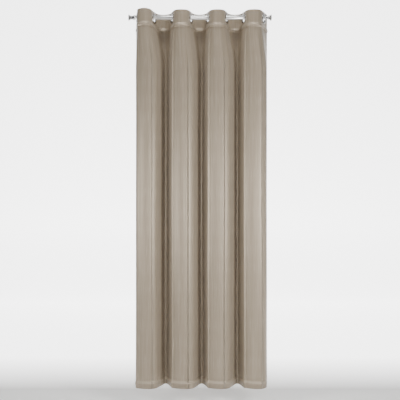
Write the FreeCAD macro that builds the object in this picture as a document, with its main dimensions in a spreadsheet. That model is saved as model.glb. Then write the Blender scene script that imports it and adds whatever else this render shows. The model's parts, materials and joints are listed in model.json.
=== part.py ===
"""An eyelet curtain on a spring tension rod, in millimetres.

X runs along the rod from the left end pad's face, Z is up and Z = 0 is the rod's axis, and +Y is the curtain's back.
"""

import FreeCAD, Part
import math
import os
import Sketcher

SIZES = {
    # rod
    "rod_length": 860, "tube_diameter": 28, "tube_wall": 1.2,
    "pad_thickness": 3, "pad_lip": 1,
    "rim_diameter": 37, "rim_height": 2.5, "flare_length": 17, "flare_sweep": 26,
    "neck_diameter": 21, "neck_length": 13, "collar_step": 1.5, "collar_length": 5, "collar_round": 1.2,
    "plug_depth": 30, "push_fit": 0.05, "running_fit": 0.06,
    "screw_diameter": 5, "screw_head": 10, "screw_length": 26,
    "screw_room": 0.1, "screw_sink": 0.4, "drilled_past_screw": 2,
    "stop_ring_room": 0.55, "stop_ring_width": 3, "stop_ring_groove": 1.5, "stop_gap": 0.3, "plunger_tail": 5,
    # spring, inside the tube
    "spring_length": 70, "spring_diameter": 18, "spring_wire": 2, "spring_pitch": 5, "seat_gap": 0.3,
    "stop_plug_length": 14, "pin_diameter": 3, "pin_sink": 0.2,
    # eyelets
    "eyelet_room": 7, "flange_width": 10.5, "flange_dome": 3, "flange_edge": 1.2, "flange_roll": 1.8,
    "back_lip": 1, "barrel_wall": 1.2, "barrel_reach": 2, "rod_gap": 0.7, "cloth_gap": 0.3, "flat_margin": 1,
    # curtain
    "left_stack": 52, "right_stack": 48, "curtain_drop": 2250, "above_eyelet": 40,
    "fold_1": 102, "fold_2": 109, "fold_3": 113, "fold_4": 102, "fold_5": 112, "fold_6": 104, "fold_7": 118,
    "fold_angle": 72, "first_angle": 80, "last_angle": 68, "left_flap": 54, "right_flap": 70,
    "cloth_thickness": 0.8, "tape_thickness": 0.8, "layer_gap": 0.1,
    "heading_height": 105, "tape_height": 98, "bottom_hem_height": 40,
    "side_hem_width": 25, "side_hem_gap": 1,
}
EYELETS = 8
SPREAD = "(sizes.rod_length - sizes.left_stack - sizes.right_stack)"
FOLDS = [f"sizes.fold_{number}" for number in range(1, EYELETS)]
BORE = "(sizes.tube_diameter / 2 - sizes.tube_wall)"
END_LENGTH = "(sizes.pad_thickness + sizes.flare_length + sizes.neck_length + sizes.collar_length)"
STACK = "(2 * sizes.cloth_thickness + sizes.tape_thickness + 2 * sizes.layer_gap)"
HOLE_RADIUS = "(sizes.tube_diameter / 2 + sizes.eyelet_room)"
FLANGE_RADIUS = f"({HOLE_RADIUS} + sizes.flange_width)"
EYELET_AXIS_Z = f"(sizes.tube_diameter / 2 + sizes.rod_gap - {HOLE_RADIUS})"
CURTAIN_TOP_Z = f"({EYELET_AXIS_Z} + sizes.above_eyelet)"
FLANGE_SEAT = f"({STACK} / 2 + sizes.cloth_gap)"
BARREL_RADIUS = f"({HOLE_RADIUS} + sizes.barrel_wall)"
BEHIND_PANEL = f"(-{STACK} / 2 + sizes.cloth_thickness + sizes.layer_gap)"

doc = FreeCAD.newDocument("eyelet_curtain")
sheet = doc.addObject("Spreadsheet::Sheet", "sizes")
for row, (alias, size) in enumerate(SIZES.items(), 1):
    sheet.set(f"A{row}", alias)
    sheet.set(f"B{row}", str(size))
    sheet.setAlias(f"B{row}", alias)
doc.recompute()
nodes = []


def value(expression):
    """The number that an expression on the sheet gives now."""
    return float(sheet.evalExpression(str(expression)))


def keep(piece):
    """Adds a finished sub-part to the ones that are written out."""
    nodes.append(piece)
    return piece


def place(piece, x="0", y="0", z="0", turn="0"):
    """Binds a sub-part's place, and its turn about the vertical in degrees, to the sheet."""
    for axis, expression in (("x", x), ("y", y), ("z", z)):
        piece.setExpression(f"Placement.Base.{axis}", expression)
    piece.Placement.Rotation = FreeCAD.Rotation(FreeCAD.Vector(0, 0, 1), 1)
    piece.setExpression("Placement.Rotation.Angle", turn)


# ---------------------------------------------------------------- sketches
def plane(body, role):
    return next(part for part in body.Origin.OriginFeatures if part.Role == role)


def sketch_on(body, role, name):
    sketch = body.newObject("Sketcher::SketchObject", name)
    sketch.AttachmentSupport = [(plane(body, role), "")]
    sketch.MapMode = "FlatFace"
    return sketch


def pin_point(sketch, edge, point, across, up):
    """Ties one sketch point to the origin by two bound distances, or to an axis where the distance is nothing."""
    for kind, expression, axis in (("DistanceX", across, -2), ("DistanceY", up, -1)):
        distance = value(expression)
        if expression == "0":
            sketch.addConstraint(Sketcher.Constraint("PointOnObject", edge, point, axis))
        else:
            tie = sketch.addConstraint(Sketcher.Constraint(kind, -1, 1, edge, point, distance))
            sketch.setExpression(f"Constraints[{tie}]", expression)


def circle(sketch, across, up, radius):
    centre = FreeCAD.Vector(value(across), value(up), 0)
    ring = sketch.addGeometry(Part.Circle(centre, FreeCAD.Vector(0, 0, 1), value(radius)))
    pin_point(sketch, ring, 3, across, up)
    tie = sketch.addConstraint(Sketcher.Constraint("Radius", ring, value(radius)))
    sketch.setExpression(f"Constraints[{tie}]", radius)


def hollow_arc(start, end, radius):
    """A sketch arc from start to end, whose centre lies on the left of the way from one to the other."""
    way = end - start
    side = FreeCAD.Vector(-way.y, way.x, 0).normalize()
    centre = (start + end) / 2 + side * math.sqrt(radius**2 - (way.Length / 2) ** 2)
    first, last = start - centre, end - centre
    round_edge = Part.Circle(centre, FreeCAD.Vector(0, 0, 1), radius)
    return Part.ArcOfCircle(round_edge, math.atan2(first.y, first.x), math.atan2(last.y, last.x))


def outline(sketch, corners):
    """A closed outline through (across, up) corners. A third value makes the edge after that corner an arc."""
    points = [FreeCAD.Vector(value(across), value(up), 0) for across, up, *_ in corners]
    count = len(corners)
    for here, (start, corner) in enumerate(zip(points, corners)):
        end = points[(here + 1) % count]
        edge = hollow_arc(start, end, value(corner[2])) if len(corner) > 2 else Part.LineSegment(start, end)
        sketch.addGeometry(edge)
    for here, corner in enumerate(corners):
        sketch.addConstraint(Sketcher.Constraint("Coincident", here - 1 if here else count - 1, 2, here, 1))
        pin_point(sketch, here, 1, corner[0], corner[1])
        if len(corner) > 2:
            tie = sketch.addConstraint(Sketcher.Constraint("Radius", here, value(corner[2])))
            sketch.setExpression(f"Constraints[{tie}]", corner[2])


# ---------------------------------------------------------------- kinds of piece
def turned(name, corners):
    """A body turned about its own X axis from an outline of (along, radius) corners."""
    body = doc.addObject("PartDesign::Body", name)
    sketch = sketch_on(body, "XY_Plane", f"{name}_outline")
    outline(sketch, corners)
    turn = body.newObject("PartDesign::Revolution", f"{name}_turn")
    turn.Profile = sketch
    turn.ReferenceAxis = (sketch, ["H_Axis"])
    turn.Angle = 360
    return body


def cross_hole(body, along, radius):
    """Drills a round hole through the whole body, parallel to Z and through its axis."""
    doc.recompute()
    before = body.Shape.Volume
    sketch = sketch_on(body, "XY_Plane", f"{body.Name}_hole_place")
    circle(sketch, along, "0", radius)
    hole = body.newObject("PartDesign::Pocket", f"{body.Name}_hole")
    hole.Profile = sketch
    hole.SideType = "Symmetric"
    hole.Type = "Length"
    hole.setExpression("Length", "2 * sizes.tube_diameter")
    doc.recompute()
    if body.Shape.Volume >= before:
        raise RuntimeError(f"{body.Name}: the cross hole cut nothing")


def disc_corners(length, outer, inner="0"):
    return [("0", inner), ("0", outer), (length, outer), (length, inner)]


# ---------------------------------------------------------------- rod
def rod_tube():
    body = doc.addObject("PartDesign::Body", "rod_tube")
    sketch = sketch_on(body, "YZ_Plane", "tube_rings")
    circle(sketch, "0", "0", "sizes.tube_diameter / 2")
    circle(sketch, "0", "0", BORE)
    pad = body.newObject("PartDesign::Pad", "tube_length")
    pad.Profile = sketch
    pad.setExpression("Length", f"sizes.rod_length - 2 * {END_LENGTH}")
    cross_hole(body, f"{stop_plug_x()} + sizes.stop_plug_length / 2 - {END_LENGTH}", "sizes.pin_diameter / 2")
    place(body, x=END_LENGTH)
    return keep(body)


def screw_hole_radius():
    return "(sizes.screw_diameter / 2 + sizes.screw_room)"


def end_pad(name, at, turn):
    """The rubber disc on the end's outer face, whose rounded lip stands a little inside the rim."""
    radius = "(sizes.rim_diameter / 2 - sizes.pad_lip)"
    body = turned(name, [
        ("0", "0"), ("0", f"{radius} - sizes.pad_lip"), ("sizes.pad_lip", radius),
        ("sizes.pad_thickness", radius), ("sizes.pad_thickness", "0"),
    ])
    place(body, x=at, turn=turn)
    return keep(body)


def end_cap(name, at, turn):
    """The trumpet flare: a rim, a hollow sweep down to the neck, and a countersunk hole from its outer face."""
    hole, head = screw_hole_radius(), "(sizes.screw_head / 2 + sizes.screw_room)"
    body = turned(name, [
        ("0", f"{head} + sizes.screw_sink"), ("0", "sizes.rim_diameter / 2"),
        ("sizes.rim_height", "sizes.rim_diameter / 2", "sizes.flare_sweep"),
        ("sizes.flare_length", "sizes.neck_diameter / 2"), ("sizes.flare_length", hole),
        (f"{head} - {hole} + sizes.screw_sink", hole),
    ])
    place(body, x=at, turn=turn)
    return keep(body)


def end_screw(name, at, turn):
    """A countersunk screw. Its head lies below the cap's face, under the pad."""
    head, shank = "(sizes.screw_head / 2)", "(sizes.screw_diameter / 2)"
    body = turned(name, [
        ("0", "0"), ("0", head), (f"{head} - {shank}", shank), ("sizes.screw_length", shank),
        ("sizes.screw_length", "0"),
    ])
    place(body, x=at, turn=turn)
    return keep(body)


def collar_corners(start):
    """The outside of a collar, rounded at both edges, from its open side to the tube's end."""
    radius, rounding = "sizes.tube_diameter / 2 + sizes.collar_step", "sizes.collar_round"
    return [
        (start, f"{radius} - {rounding}"), (f"{start} + {rounding}", radius),
        (f"{start} + sizes.collar_length - {rounding}", radius),
        (f"{start} + sizes.collar_length", f"{radius} - {rounding}"),
    ]


def left_plug():
    """The fixed neck, its collar and the spigot in the tube, with a blind hole for the end screw."""
    neck, spigot, hole = "sizes.neck_diameter / 2", f"({BORE} - sizes.push_fit)", screw_hole_radius()
    collar_end = "sizes.neck_length + sizes.collar_length"
    depth = "sizes.screw_length + sizes.screw_sink + sizes.drilled_past_screw - sizes.flare_length"
    body = turned("tube_plug_left", [
        ("0", hole), ("0", neck), ("sizes.neck_length", neck), *collar_corners("sizes.neck_length"),
        (collar_end, spigot), (f"{collar_end} + sizes.plug_depth", spigot),
        (f"{collar_end} + sizes.plug_depth", "0"), (depth, "0"), (depth, hole),
    ])
    place(body, x="sizes.pad_thickness + sizes.flare_length")
    return keep(body)


def right_bush():
    """The collar and sleeve that guide the plunger, from the collar's open side inwards."""
    bore, sleeve = "(sizes.neck_diameter / 2 + sizes.running_fit)", f"({BORE} - sizes.push_fit)"
    length = "sizes.collar_length + sizes.plug_depth"
    body = turned("guide_bush_right", [
        ("0", bore), *collar_corners("0"), ("sizes.collar_length", sleeve), (length, sleeve), (length, bore),
    ])
    outside = "sizes.pad_thickness + sizes.flare_length + sizes.neck_length"
    place(body, x=f"sizes.rod_length - ({outside})", turn="180")
    return keep(body)


def plunger_length():
    guide = "sizes.neck_length + sizes.collar_length + sizes.plug_depth"
    return f"({guide} + sizes.stop_gap + sizes.stop_ring_width + sizes.plunger_tail)"


def plunger():
    """The sliding neck, with a groove near its inner end for the stop ring and a blind hole for the end screw."""
    neck, hole = "sizes.neck_diameter / 2", screw_hole_radius()
    groove = "sizes.neck_length + sizes.collar_length + sizes.plug_depth + sizes.stop_gap"
    groove_end, floor = f"{groove} + sizes.stop_ring_width", f"{neck} - sizes.stop_ring_groove"
    depth = "sizes.screw_length + sizes.screw_sink + sizes.drilled_past_screw - sizes.flare_length"
    body = turned("plunger", [
        ("0", hole), ("0", neck), (groove, neck), (groove, floor), (groove_end, floor), (groove_end, neck),
        (plunger_length(), neck), (plunger_length(), "0"), (depth, "0"), (depth, hole),
    ])
    place(body, x="sizes.rod_length - sizes.pad_thickness - sizes.flare_length", turn="180")
    return keep(body)


def stop_ring():
    """The ring that is snapped into the plunger's groove and comes against the bush."""
    inner = "(sizes.neck_diameter / 2 - sizes.stop_ring_groove)"
    outer = f"({BORE} - sizes.stop_ring_room)"
    body = turned("plunger_stop_ring", disc_corners("sizes.stop_ring_width", outer, inner))
    place(body, x=f"sizes.rod_length - {END_LENGTH} - sizes.plug_depth - sizes.stop_gap", turn="180")
    return keep(body)


def spring_end_x():
    """The spring's right end, a little short of the plunger's inner face."""
    outside = "sizes.pad_thickness + sizes.flare_length"
    return f"(sizes.rod_length - ({outside}) - {plunger_length()} - sizes.seat_gap)"


def stop_plug_x():
    return f"({spring_end_x()} - sizes.spring_length - sizes.seat_gap - sizes.stop_plug_length)"


def spring():
    """A helical compression spring with the wire's own round section."""
    body = doc.addObject("PartDesign::Body", "compression_spring")
    sketch = sketch_on(body, "XY_Plane", "wire_section")
    circle(sketch, "sizes.spring_wire / 2", "sizes.spring_diameter / 2", "sizes.spring_wire / 2")
    coil = body.newObject("PartDesign::AdditiveHelix", "spring_coil")
    coil.Profile = sketch
    coil.ReferenceAxis = (sketch, ["H_Axis"])
    coil.Mode = "pitch-height-angle"
    coil.setExpression("Pitch", "sizes.spring_pitch")
    coil.setExpression("Height", "sizes.spring_length - sizes.spring_wire")
    place(body, x=f"{spring_end_x()} - sizes.spring_length")
    return keep(body)


def spring_stop():
    """The plug that the spring pushes against, and the pin that holds it in the tube."""
    plug = turned("spring_stop_plug", disc_corners("sizes.stop_plug_length", f"{BORE} - sizes.push_fit"))
    cross_hole(plug, "sizes.stop_plug_length / 2", "sizes.pin_diameter / 2")
    place(plug, x=stop_plug_x())
    keep(plug)
    pin = doc.addObject("Part::Cylinder", "stop_plug_pin")
    pin.setExpression("Radius", "sizes.pin_diameter / 2 - sizes.push_fit")
    pin.setExpression("Height", "sizes.tube_diameter - 2 * sizes.pin_sink")
    place(pin, x=f"{stop_plug_x()} + sizes.stop_plug_length / 2", z="sizes.pin_sink - sizes.tube_diameter / 2")
    return keep(pin)


# ---------------------------------------------------------------- eyelets
def eyelet_x(number):
    """The eyelet's place along the rod: the folds share the room between the two stacks by their own widths."""
    before = " + ".join(FOLDS[: number - 1]) or "0"
    return f"sizes.left_stack + {SPREAD} * ({before}) / ({' + '.join(FOLDS)})"


def cloth_turn(number):
    """The cloth's direction at an eyelet, in degrees from X: forwards at the odd ones, backwards at the even ones."""
    angle = {1: "sizes.first_angle", EYELETS: "sizes.last_angle"}.get(number, "sizes.fold_angle")
    return f"-{angle}" if number % 2 else angle


def flange_corners(seat, reach):
    """A domed flange from its flat seat outwards, with a rolled inner lip."""
    top = f"{seat} + sizes.flange_dome"
    return [
        (seat, FLANGE_RADIUS), (f"{seat} + sizes.flange_edge", FLANGE_RADIUS),
        (top, f"{FLANGE_RADIUS} - sizes.flange_dome"), (top, f"{HOLE_RADIUS} + sizes.flange_dome"),
        (f"{top} - sizes.flange_roll", HOLE_RADIUS), (reach, HOLE_RADIUS),
    ]


def eyelet(number):
    """A front ring with the barrel that goes through the cloth, and the back ring that snaps onto it."""
    barrel_end = f"-({FLANGE_SEAT} + sizes.barrel_reach)"
    front = turned(f"eyelet_{number}_front", [
        *flange_corners(FLANGE_SEAT, barrel_end), (barrel_end, BARREL_RADIUS), (FLANGE_SEAT, BARREL_RADIUS),
    ])
    inner, top = f"({BARREL_RADIUS} + sizes.push_fit)", f"{FLANGE_SEAT} + sizes.flange_dome"
    back = turned(f"eyelet_{number}_back", [
        (FLANGE_SEAT, inner), (FLANGE_SEAT, FLANGE_RADIUS), (f"{FLANGE_SEAT} + sizes.flange_edge", FLANGE_RADIUS),
        (top, f"{FLANGE_RADIUS} - sizes.flange_dome"), (top, f"{inner} + sizes.back_lip"),
        (f"{top} - sizes.back_lip", inner),
    ])
    for ring, facing in ((front, "-90"), (back, "90")):
        place(ring, x=eyelet_x(number), z=EYELET_AXIS_Z, turn=f"{cloth_turn(number)} + {facing}")
        keep(ring)


# ---------------------------------------------------------------- curtain
def cloth_line():
    """The cloth's line seen from above, as ((x, y), turn) at each corner, with its two free ends."""
    ends = []
    for number in range(1, EYELETS + 1):
        at, turn = value(eyelet_x(number)), math.radians(value(cloth_turn(number)))
        ends.append((at, turn))
    (first, first_turn), (last, last_turn) = ends[0], ends[-1]
    left, right = value("left_flap"), value("right_flap")
    corners = [FreeCAD.Vector(first - left * math.cos(first_turn), -left * math.sin(first_turn), 0)]
    for (x1, turn1), (x2, turn2) in zip(ends, ends[1:]):
        run = (x2 - x1) * math.sin(turn2) / math.sin(turn2 - turn1)
        corners.append(FreeCAD.Vector(x1 + run * math.cos(turn1), run * math.sin(turn1), 0))
    corners.append(FreeCAD.Vector(last + right * math.cos(last_turn), right * math.sin(last_turn), 0))
    return [x for x, _ in ends], corners


def corner_setback(eyelets, corners, here):
    """How far from a corner its arc starts, so that the cloth stays flat under both eyelets beside it."""
    flat = value(f"{FLANGE_RADIUS} + sizes.flat_margin")
    beside = [FreeCAD.Vector(eyelets[here - 1], 0, 0), FreeCAD.Vector(eyelets[here], 0, 0)]
    return min((corners[here] - eyelet).Length for eyelet in beside) - flat


def side_of_cloth(eyelets, corners, offset):
    """The edges of one side of the cloth, at an offset from its line (positive is the back), from left to right."""
    edges = []
    ways = [(after - before).normalize() for before, after in zip(corners, corners[1:])]
    sides = [FreeCAD.Vector(-way.y, way.x, 0) * offset for way in ways]
    start = corners[0] + sides[0]
    for here in range(1, len(corners) - 1):
        setback = corner_setback(eyelets, corners, here)
        arc_start = corners[here] - ways[here - 1] * setback + sides[here - 1]
        arc_end = corners[here] + ways[here] * setback + sides[here]
        half_turn = ways[here - 1].getAngle(ways[here]) / 2
        inwards = (ways[here] - ways[here - 1]).normalize()
        radius = setback / math.tan(half_turn)
        centre = corners[here] + inwards * (radius / math.cos(half_turn))
        towards = 1 if inwards.dot(sides[here]) < 0 else -1
        middle = centre - inwards * (radius + towards * abs(offset))
        edges.append(Part.LineSegment(start, arc_start).toShape())
        edges.append(Part.Arc(arc_start, middle, arc_end).toShape())
        start = arc_end
    return edges + [Part.LineSegment(start, corners[-1] + sides[-1]).toShape()]


def cloth_section(name, front, thickness):
    """The closed section of one layer, from its front offset to front + thickness."""
    eyelets, corners = cloth_line()
    front_edges = side_of_cloth(eyelets, corners, value(front))
    back_edges = side_of_cloth(eyelets, corners, value(f"{front} + {thickness}"))
    left = Part.LineSegment(front_edges[0].firstVertex().Point, back_edges[0].firstVertex().Point).toShape()
    right = Part.LineSegment(front_edges[-1].lastVertex().Point, back_edges[-1].lastVertex().Point).toShape()
    wire = Part.Wire(Part.__sortEdges__([*front_edges, right, *back_edges, left]))
    section = doc.addObject("Part::Feature", f"{name}_section")
    section.Shape = Part.Face(wire)
    return section


def cloth_layer(name, front, thickness, height):
    """A layer that follows the folds, from the curtain's top down by its height."""
    section = cloth_section(name, front, thickness)
    section.setExpression("Placement.Base.z", CURTAIN_TOP_Z)
    layer = doc.addObject("Part::Extrusion", name)
    layer.Base = section
    layer.DirMode = "Custom"
    layer.Dir = FreeCAD.Vector(0, 0, -1)
    layer.Solid = True
    layer.setExpression("LengthFwd", height)
    return layer


def eyelet_holes():
    """The round cutters for the holes that the barrels go through."""
    cutters = []
    for number in range(1, EYELETS + 1):
        cutter = doc.addObject("PartDesign::Body", f"hole_{number}_cutter")
        sketch = sketch_on(cutter, "YZ_Plane", f"hole_{number}_round")
        circle(sketch, "0", "0", f"{BARREL_RADIUS} + sizes.cloth_gap")
        pad = cutter.newObject("PartDesign::Pad", f"hole_{number}_depth")
        pad.Profile = sketch
        pad.SideType = "Symmetric"
        pad.setExpression("Length", f"2 * ({FLANGE_SEAT} + sizes.flange_dome)")
        place(cutter, x=eyelet_x(number), z=EYELET_AXIS_Z, turn=f"{cloth_turn(number)} + 90")
        cutters.append(cutter)
    holes = doc.addObject("Part::Compound", "eyelet_holes")
    holes.Links = cutters
    return holes


def pierced_layer(name, front, thickness, height, holes):
    layer = doc.addObject("Part::Cut", name)
    layer.Base = cloth_layer(f"{name}_cloth", front, thickness, height)
    layer.Tool = holes
    return keep(layer)


def bottom_hem():
    """The turned-up hem behind the panel's lower edge."""
    layer = cloth_layer("bottom_hem", BEHIND_PANEL, "sizes.cloth_thickness", "sizes.bottom_hem_height")
    rise = "sizes.curtain_drop - sizes.bottom_hem_height"
    place(layer, z=f"-({rise})")
    return keep(layer)


def side_hem(name, number, flap, way):
    """A narrow turned-in strip along the free edge of one flap, behind the panel."""
    strip = doc.addObject("Part::Box", name)
    strip.setExpression("Length", "sizes.side_hem_width")
    strip.setExpression("Width", "sizes.cloth_thickness")
    covered = "sizes.heading_height + sizes.bottom_hem_height + 2 * sizes.side_hem_gap"
    strip.setExpression("Height", f"sizes.curtain_drop - ({covered})")
    turn = cloth_turn(number)
    start = f"({flap} - sizes.side_hem_width)" if way > 0 else f"(-{flap})"
    place(
        strip,
        x=f"{eyelet_x(number)} + {start} * cos({turn} * 1 deg) - {BEHIND_PANEL} * sin({turn} * 1 deg)",
        y=f"{start} * sin({turn} * 1 deg) + {BEHIND_PANEL} * cos({turn} * 1 deg)",
        z=f"{CURTAIN_TOP_Z} - sizes.curtain_drop + sizes.bottom_hem_height + sizes.side_hem_gap",
        turn=turn,
    )
    return keep(strip)


def curtain():
    holes = eyelet_holes()
    pierced_layer("curtain_panel", f"-{STACK} / 2", "sizes.cloth_thickness", "sizes.curtain_drop", holes)
    pierced_layer("heading_tape", BEHIND_PANEL, "sizes.tape_thickness", "sizes.tape_height", holes)
    facing_front = f"{STACK} / 2 - sizes.cloth_thickness"
    pierced_layer("heading_facing", facing_front, "sizes.cloth_thickness", "sizes.heading_height", holes)
    bottom_hem()
    side_hem("side_hem_left", 1, "sizes.left_flap", -1)
    side_hem("side_hem_right", EYELETS, "sizes.right_flap", 1)


def check_document():
    """Stops the build if any object failed, or if a sub-part is empty or not valid."""
    for made in doc.Objects:
        if {"Invalid", "Error"} & set(made.State):
            raise RuntimeError(f"{made.Label} failed: {made.State}")
    for piece in nodes:
        if piece.Shape.isNull() or not piece.Shape.isValid() or not piece.Shape.Solids:
            raise RuntimeError(f"{piece.Label} has no valid solid")


rod_tube()
end_pad("end_pad_left", "0", "0")
end_cap("end_cap_left", "sizes.pad_thickness", "0")
end_screw("end_screw_left", "sizes.pad_thickness + sizes.screw_sink", "0")
left_plug()
end_pad("end_pad_right", "sizes.rod_length", "180")
end_cap("end_cap_right", "sizes.rod_length - sizes.pad_thickness", "180")
end_screw("end_screw_right", "sizes.rod_length - sizes.pad_thickness - sizes.screw_sink", "180")
right_bush()
plunger()
stop_ring()
spring()
spring_stop()
for eyelet_number in range(1, EYELETS + 1):
    eyelet(eyelet_number)
curtain()
doc.recompute()
check_document()
os.makedirs("parts", exist_ok=True)
for node in nodes:
    node.Shape.exportStep(f"parts/{node.Name}.step")
print(f"{len(nodes)} sub-parts written")
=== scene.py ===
# %% [markdown]
# # An eyelet curtain on a tension rod
# The frame holds the real sizes: where the rod lies, where each eyelet hangs and how tall the curtain is.
# Everything made here is measured from it, so the cloth, the rings and the rod always fit each other.

# %% Load the frame
import json
import math

import bmesh
import bpy
from mathutils import Matrix, Vector, noise


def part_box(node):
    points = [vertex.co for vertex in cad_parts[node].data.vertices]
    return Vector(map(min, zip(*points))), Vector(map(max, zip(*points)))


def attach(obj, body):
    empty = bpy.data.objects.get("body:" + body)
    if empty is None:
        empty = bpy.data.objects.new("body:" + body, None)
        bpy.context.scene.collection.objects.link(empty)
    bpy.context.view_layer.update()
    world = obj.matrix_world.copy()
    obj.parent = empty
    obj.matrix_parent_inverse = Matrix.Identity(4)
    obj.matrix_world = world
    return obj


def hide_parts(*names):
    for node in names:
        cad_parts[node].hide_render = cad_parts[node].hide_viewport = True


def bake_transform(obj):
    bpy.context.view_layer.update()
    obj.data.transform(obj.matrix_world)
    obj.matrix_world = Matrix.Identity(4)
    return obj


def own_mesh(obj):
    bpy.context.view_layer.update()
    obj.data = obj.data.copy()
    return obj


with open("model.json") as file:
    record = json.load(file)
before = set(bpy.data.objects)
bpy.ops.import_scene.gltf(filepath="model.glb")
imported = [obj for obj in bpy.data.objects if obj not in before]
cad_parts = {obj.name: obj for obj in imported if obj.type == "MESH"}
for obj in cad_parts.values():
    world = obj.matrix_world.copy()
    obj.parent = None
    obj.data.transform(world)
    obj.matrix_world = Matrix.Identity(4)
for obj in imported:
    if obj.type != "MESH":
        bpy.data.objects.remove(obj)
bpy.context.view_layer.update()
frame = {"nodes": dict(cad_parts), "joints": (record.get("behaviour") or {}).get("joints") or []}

MM = 0.001

# %% [markdown]
# ## Places read from the frame
# A ring's box is even on both sides of its own middle, so the two rings of an eyelet together give its place.
# The rod's axis is the X axis. The camera looks along +Y, so the curtain's front is its -Y side.

# %% Measure the frame
EYELETS = 8


def centre_of(*nodes):
    boxes = [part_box(node) for node in nodes]
    low = [min(box[0][axis] for box in boxes) for axis in range(3)]
    high = [max(box[1][axis] for box in boxes) for axis in range(3)]
    return Vector([(a + b) / 2 for a, b in zip(low, high)])


eyelets = [centre_of(f"eyelet_{n}_front", f"eyelet_{n}_back") for n in range(1, EYELETS + 1)]
panel_low, panel_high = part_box("curtain_panel")
TOP, BOTTOM = panel_high[2], panel_low[2]
tube_low, tube_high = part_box("rod_tube")
ROD_RADIUS = (tube_high[2] - tube_low[2]) / 2
ROD_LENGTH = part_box("end_pad_right")[1][0]
FLANGE_RADIUS = (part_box("eyelet_2_front")[1][2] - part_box("eyelet_2_front")[0][2]) / 2
print("eyelets at", [round(e.x / MM) for e in eyelets], "mm, drop", round((TOP - BOTTOM) / MM), "mm")

# %% [markdown]
# ## Shader maths as plain expressions
# A material is easier to read as arithmetic than as a list of links. This class wraps one output socket, and each
# operator adds the Math node that does it. Colours and vectors go through Mix and Vector Math, because a Math node
# works on a single number only.

# %% Socket wrapper
class Sock:
    def __init__(self, tree, socket):
        self.tree, self.socket = tree, socket

    def node(self, kind, values=(), output=0, **settings):
        """A node of this kind, with its settings made first, then its sockets filled by name or number."""
        made = self.tree.nodes.new(kind)
        for name, setting in settings.items():
            if name == "stops":
                while len(made.color_ramp.elements) < len(setting):
                    made.color_ramp.elements.new(0.5)
                for element, (place, shade) in zip(made.color_ramp.elements, setting):
                    element.position, element.color = place, (*shade, 1) if len(shade) == 3 else shade
            else:
                setattr(made, name, setting)
        for name, given in dict(values).items():
            plug(self.tree, made.inputs[name], given)
        return Sock(self.tree, made.outputs[output])

    def maths(self, operation, *others, clamp=False):
        values = dict(enumerate((self, *others)))
        return self.node("ShaderNodeMath", values, operation=operation, use_clamp=clamp)

    def __add__(self, other): return self.maths("ADD", other)
    def __radd__(self, other): return self.maths("ADD", other)
    def __sub__(self, other): return self.maths("SUBTRACT", other)
    def __rsub__(self, other): return self.node("ShaderNodeMath", {0: other, 1: self}, operation="SUBTRACT")
    def __mul__(self, other): return self.maths("MULTIPLY", other)
    def __rmul__(self, other): return self.maths("MULTIPLY", other)
    def __truediv__(self, other): return self.maths("DIVIDE", other)
    def __pow__(self, other): return self.maths("POWER", other)

    def ranged(self, low, high, out_low=0.0, out_high=1.0):
        values = {0: self, 1: low, 2: high, 3: out_low, 4: out_high}
        return self.node("ShaderNodeMapRange", values)

    def mixed(self, first, second):
        """A colour between two, by this value."""
        values = {0: self, 6: first, 7: second}
        return self.node("ShaderNodeMix", values, 2, data_type="RGBA")

    def scaled(self, by):
        """This vector, each axis multiplied."""
        return self.node("ShaderNodeVectorMath", {0: self, 1: by}, operation="MULTIPLY")

    def noise(self, scale=1.0, detail=2.0, rough=0.5):
        return self.node("ShaderNodeTexNoise", {"Vector": self, "Scale": scale, "Detail": detail, "Roughness": rough})

    def wave(self, axis, scale, distortion=0.0):
        values = {"Vector": self, "Scale": scale, "Distortion": distortion, "Detail": 0.0}
        return self.node("ShaderNodeTexWave", values, 1, wave_type="BANDS", bands_direction=axis)

    def bumped(self, strength, distance, under=None):
        values = {"Height": self, "Strength": strength, "Distance": distance}
        if under:
            values["Normal"] = under
        return self.node("ShaderNodeBump", values)


def plug(tree, socket, given):
    if isinstance(given, Sock):
        tree.links.new(given.socket, socket)
    elif isinstance(given, tuple) and socket.type == "RGBA":
        socket.default_value = (*given, 1) if len(given) == 3 else given
    else:
        socket.default_value = given


def material(name, **constants):
    """A material with its Principled shader's own constants set, and a start for its expressions."""
    made = bpy.data.materials.new(name)
    made.use_nodes = True
    shader = made.node_tree.nodes["Principled BSDF"]
    for socket, given in constants.items():
        plug(made.node_tree, shader.inputs[socket.replace("_", " ")], given)
    return made, shader, Sock(made.node_tree, None)


def surface(made, shader, **links):
    for socket, given in links.items():
        plug(made.node_tree, shader.inputs[socket.replace("_", " ")], given)
    print("material", made.name, "has", len(made.node_tree.nodes), "nodes")
    return made


# %% [markdown]
# ## The satin cloth
# Curtain satin is woven with fine threads, and here and there a thicker slub runs down the warp. The flat cloth's own
# coordinates, in metres, are kept in a UV map, so the weave and the slubs run with the cloth through every fold.
# The threads are a bump, the slubs change colour, sheen and height a little, and a slow noise stops it looking printed.
# A painted highlight lightens a band along the hem's stitches, where the welt catches light. Lower down, painted shade
# darkens the cloth towards the bottom edge.

# %% Cloth material
CLOTH_LIGHT, CLOTH_DARK, CLOTH_SLUB = (0.385, 0.323, 0.250), (0.255, 0.207, 0.153), (0.54, 0.46, 0.37)
# heights above the bottom: the painted highlight's line along the hem, then the two bounds of the painted shade
PAINTED_HIGHLIGHT_LINE, PAINTED_SHADE_FROM, PAINTED_SHADE_TO = 38 * MM, 34 * MM, 20 * MM


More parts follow.
